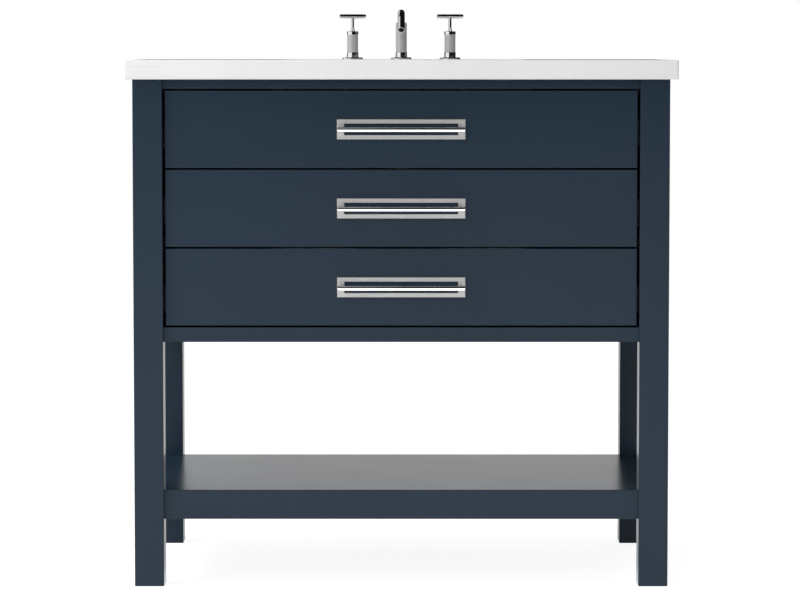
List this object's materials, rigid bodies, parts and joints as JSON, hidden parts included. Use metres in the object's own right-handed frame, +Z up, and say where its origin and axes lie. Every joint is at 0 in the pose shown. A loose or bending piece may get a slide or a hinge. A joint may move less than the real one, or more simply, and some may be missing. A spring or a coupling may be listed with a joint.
{
  "type": "bathroom vanity cabinet",
  "caption": "Free-standing bathroom vanity with slab drawers on slides, an open lower shelf, a stone counter, an undermount basin and a widespread faucet.",
  "frame": {"origin": "on the floor, in the middle of the overall width and depth", "axes": "+X to the right side, -Y to the front, +Z up"},
  "size_m": [0.9144, 0.57, 0.9647],
  "materials": {
    "navy_paint": "satin navy paint on wood",
    "drawer_wood": "clear lacquered birch",
    "raw_wood": "bare wood",
    "slide_steel": "zinc-plated steel",
    "polished_chrome": "polished chrome",
    "satin_chrome": "satin",
    "white_stone": "polished, faint grey streaks",
    "white_china": "glazed",
    "brass": "machined",
    "dark_plastic": "matte"
  },
  "bodies": {
    "cabinet": {"back_panel": "navy_paint", "cabinet_floor": "navy_paint", "corner_blocks": "raw_wood", "countertop": "white_stone", "drain_body": "polished_chrome", "drain_tailpiece": "polished_chrome", "faucet_base_rings": "polished_chrome", "faucet_escutcheons": "polished_chrome", "faucet_shanks": "brass", "handle_sleeves": "satin_chrome", "leg_front_left": "navy_paint", "leg_front_right": "navy_paint", "leg_rear_left": "navy_paint", "leg_rear_right": "navy_paint", "mounting_nuts": "brass", "rail_back_top": "navy_paint", "rail_front_bottom": "navy_paint", "rail_front_top": "navy_paint", "shelf_panel": "navy_paint", "shelf_rail_front": "navy_paint", "shelf_rail_rear": "navy_paint", "shelf_rails_side": "navy_paint", "side_panels": "navy_paint", "sink_basin": "white_china", "slide_cleats": "raw_wood", "slide_tracks": "slide_steel", "spout_aerator": "dark_plastic", "spout_column": "satin_chrome", "spout_tube": "polished_chrome"},
    "drawer_top": {"drawer_top_bottom": "drawer_wood", "drawer_top_box_ends": "drawer_wood", "drawer_top_box_sides": "drawer_wood", "drawer_top_front": "navy_paint", "drawer_top_pull_bar": "polished_chrome", "drawer_top_pull_plate": "satin_chrome", "drawer_top_slide_members": "slide_steel", "drawer_top_well": "drawer_wood"},
    "slide_carriers_top": {"drawer_top_slide_carriers": "slide_steel"},
    "drawer_middle": {"drawer_middle_bottom": "drawer_wood", "drawer_middle_box_ends": "drawer_wood", "drawer_middle_box_sides": "drawer_wood", "drawer_middle_front": "navy_paint", "drawer_middle_pull_bar": "polished_chrome", "drawer_middle_pull_plate": "satin_chrome", "drawer_middle_slide_members": "slide_steel", "drawer_middle_well": "drawer_wood"},
    "slide_carriers_middle": {"drawer_middle_slide_carriers": "slide_steel"},
    "drawer_bottom": {"drawer_bottom_bottom": "drawer_wood", "drawer_bottom_box_ends": "drawer_wood", "drawer_bottom_box_sides": "drawer_wood", "drawer_bottom_front": "navy_paint", "drawer_bottom_pull_bar": "polished_chrome", "drawer_bottom_pull_plate": "satin_chrome", "drawer_bottom_slide_members": "slide_steel"},
    "slide_carriers_bottom": {"drawer_bottom_slide_carriers": "slide_steel"},
    "hot_handle": {"hot_handle_hub": "polished_chrome", "hot_handle_bar": "polished_chrome"},
    "cold_handle": {"cold_handle_hub": "polished_chrome", "cold_handle_bar": "polished_chrome"},
    "stopper": {"drain_stopper": "polished_chrome"}
  },
  "joints": [
    {"name": "drawer_top_slide", "type": "slide", "parent": "cabinet", "child": "drawer_top", "axis": [0, -1, 0], "range_m": [0, 0.4]},
    {"name": "carriers_top_slide", "type": "slide", "parent": "cabinet", "child": "slide_carriers_top", "axis": [0, -1, 0], "range_m": [0, 0.2]},
    {"name": "drawer_middle_slide", "type": "slide", "parent": "cabinet", "child": "drawer_middle", "axis": [0, -1, 0], "range_m": [0, 0.4]},
    {"name": "carriers_middle_slide", "type": "slide", "parent": "cabinet", "child": "slide_carriers_middle", "axis": [0, -1, 0], "range_m": [0, 0.2]},
    {"name": "drawer_bottom_slide", "type": "slide", "parent": "cabinet", "child": "drawer_bottom", "axis": [0, -1, 0], "range_m": [0, 0.4]},
    {"name": "carriers_bottom_slide", "type": "slide", "parent": "cabinet", "child": "slide_carriers_bottom", "axis": [0, -1, 0], "range_m": [0, 0.2]},
    {"name": "hot_handle_turn", "type": "hinge", "parent": "cabinet", "child": "hot_handle", "pos_m": [-0.087, 0.21, 0.87625], "axis": [0, 0, 1], "range_deg": [0, 90]},
    {"name": "cold_handle_turn", "type": "hinge", "parent": "cabinet", "child": "cold_handle", "pos_m": [0.087, 0.21, 0.87625], "axis": [0, 0, 1], "range_deg": [-90, 0]},
    {"name": "stopper_lift", "type": "slide", "parent": "cabinet", "child": "stopper", "axis": [0, 0, 1], "range_m": [0, 0.008]}
  ],
  "couplings": [
    {"joint": "carriers_top_slide", "follows": "drawer_top_slide", "ratio": 0.5},
    {"joint": "carriers_middle_slide", "follows": "drawer_middle_slide", "ratio": 0.5},
    {"joint": "carriers_bottom_slide", "follows": "drawer_bottom_slide", "ratio": 0.5}
  ]
}
